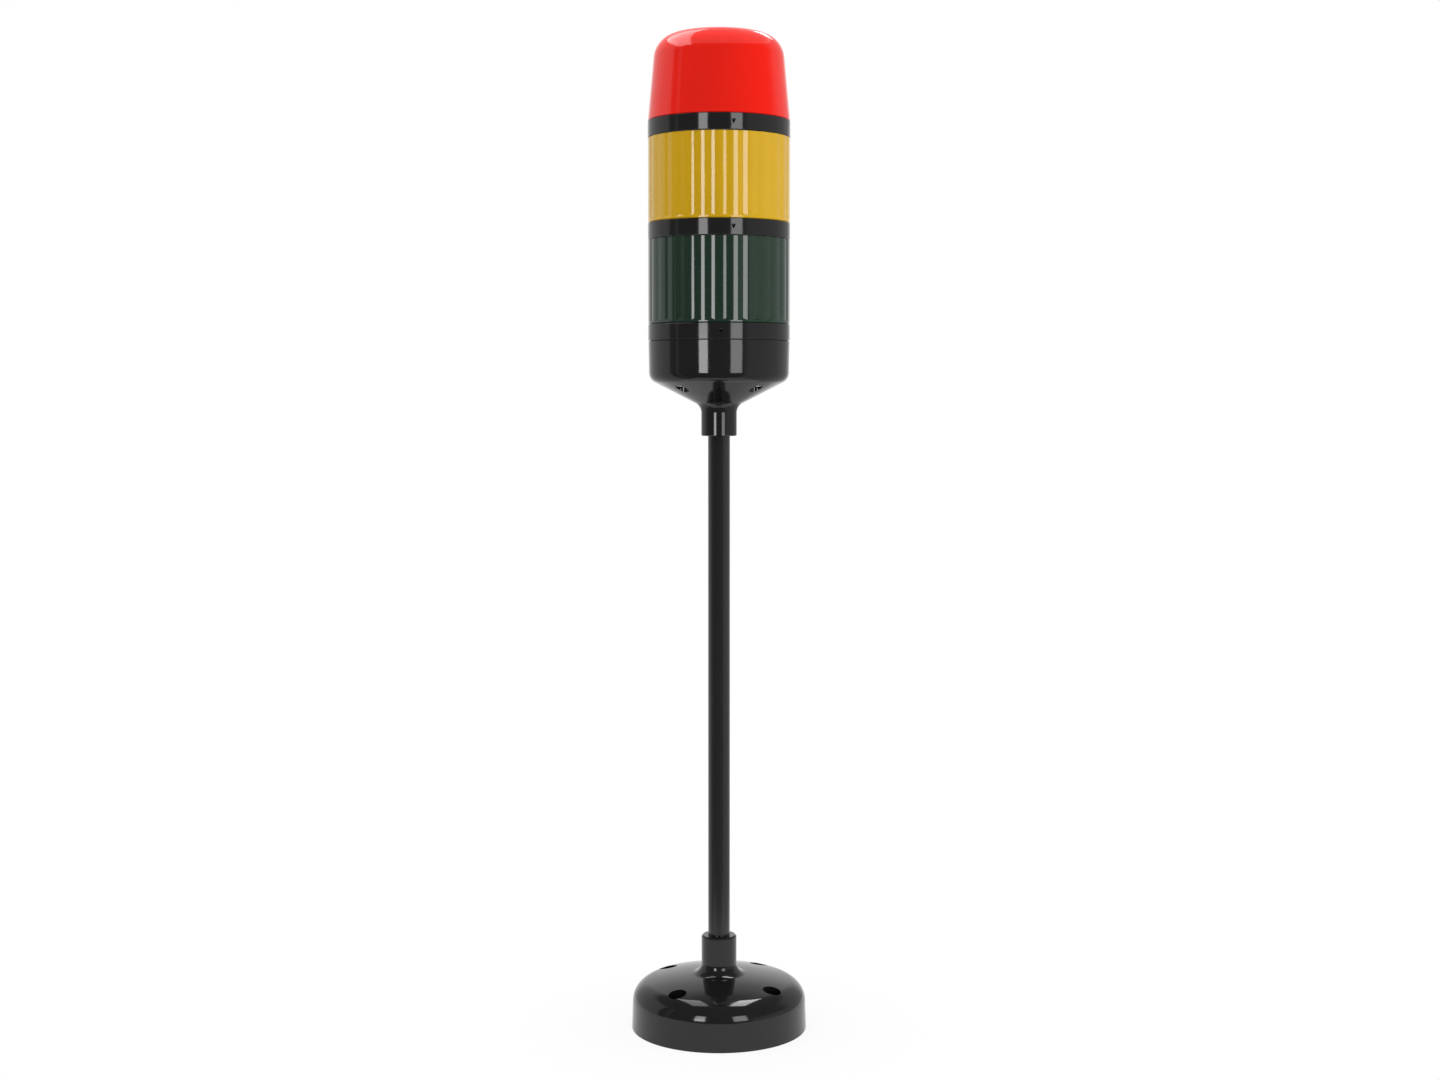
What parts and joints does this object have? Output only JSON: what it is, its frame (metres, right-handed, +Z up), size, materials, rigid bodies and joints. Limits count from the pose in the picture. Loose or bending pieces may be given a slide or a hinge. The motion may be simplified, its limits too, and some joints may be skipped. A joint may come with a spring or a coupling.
{
  "type": "stack light",
  "caption": "Signal tower with red, yellow and green light modules on a terminal housing, carried by a slim tube on a round screw-down foot.",
  "frame": {"origin": "centre of the foot's underside, on the surface that the tower stands on", "axes": "+Z up along the tube, -Y towards the front, where the marks of the rings are"},
  "size_m": [0.0898, 0.0898, 0.5043],
  "materials": {
    "black_plastic": "glossy black moulded plastic",
    "inner_black_plastic": "satin black moulded plastic",
    "black_paint": "black painted steel tube, satin",
    "zinc_steel": "zinc-plated steel",
    "rubber": "soft black rubber",
    "grey_plastic": "light grey moulded plastic",
    "white_plastic": "white moulded plastic",
    "brass": "bright stamped brass",
    "lamp_white": "white lamp body",
    "green_lens": "dark green translucent plastic, polished, fluted",
    "yellow_lens": "yellow translucent plastic, polished, fluted",
    "red_lens": "red translucent plastic, polished"
  },
  "bodies": {
    "stand": {"foot": "black_plastic", "foot_gasket": "rubber", "tube": "black_paint", "foot_washer": "zinc_steel", "foot_nut": "zinc_steel", "head_washer": "zinc_steel", "head_nut": "zinc_steel", "housing": "black_plastic", "carrier_screws": "zinc_steel", "terminal_carrier": "inner_black_plastic", "terminal_block": "grey_plastic", "terminal_screws": "zinc_steel", "housing_contacts": "brass", "green_seal": "rubber"},
    "green_module": {"green_ring": "black_plastic", "green_lens": "green_lens", "green_lamp_holder": "white_plastic", "green_contacts": "brass", "green_lamp_contacts": "brass", "green_lamp": "lamp_white", "yellow_seal": "rubber"},
    "yellow_module": {"yellow_ring": "black_plastic", "yellow_lens": "yellow_lens", "yellow_lamp_holder": "white_plastic", "yellow_contacts": "brass", "yellow_lamp_contacts": "brass", "yellow_lamp": "lamp_white", "red_seal": "rubber"},
    "red_module": {"red_ring": "black_plastic", "red_lens": "red_lens", "red_lamp_holder": "white_plastic", "red_contacts": "brass", "red_lamp_contacts": "brass", "red_lamp": "lamp_white"}
  },
  "joints": [
    {"name": "green_twist", "type": "hinge", "parent": "stand", "child": "green_module", "pos_m": [0, 0, 0.3512], "axis": [0, 0, 1], "range_deg": [0, 15]},
    {"name": "yellow_twist", "type": "hinge", "parent": "green_module", "child": "yellow_module", "pos_m": [0, 0, 0.4016], "axis": [0, 0, 1], "range_deg": [0, 15]},
    {"name": "red_twist", "type": "hinge", "parent": "yellow_module", "child": "red_module", "pos_m": [0, 0, 0.452], "axis": [0, 0, 1], "range_deg": [0, 15]}
  ]
}
